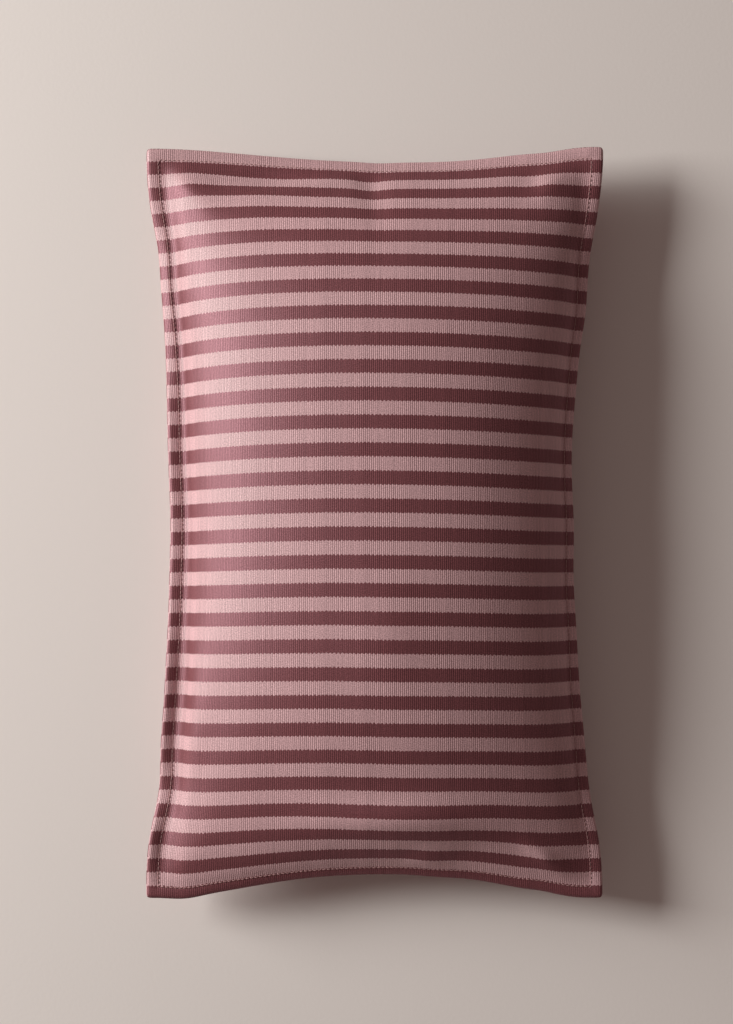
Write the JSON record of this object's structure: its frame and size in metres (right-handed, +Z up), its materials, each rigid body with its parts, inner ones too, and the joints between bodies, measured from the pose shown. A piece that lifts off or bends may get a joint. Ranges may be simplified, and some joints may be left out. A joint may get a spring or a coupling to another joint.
{
  "type": "filled striped cushion",
  "caption": "Plump rectangular cushion in a striped ribbed cotton cover with a narrow top-stitched flange, sides drawn in between square corners, lying on its back.",
  "frame": {"origin": "on the surface the cushion lies on, under the middle of its bounding box", "axes": "+Y is the long way, towards the end with the pale edge stripe; +X is across; +Z is up, out of the front panel"},
  "size_m": [0.302, 0.4969, 0.0848],
  "materials": {
    "panels": "matt ribbed cotton in equal pale pink and dusky wine stripes",
    "flange": "matt ribbed cotton, the same striped cloth doubled and top-stitched"
  },
  "bodies": {
    "root": {"cushion": "panels", "flange": "flange"}
  },
  "joints": []
}
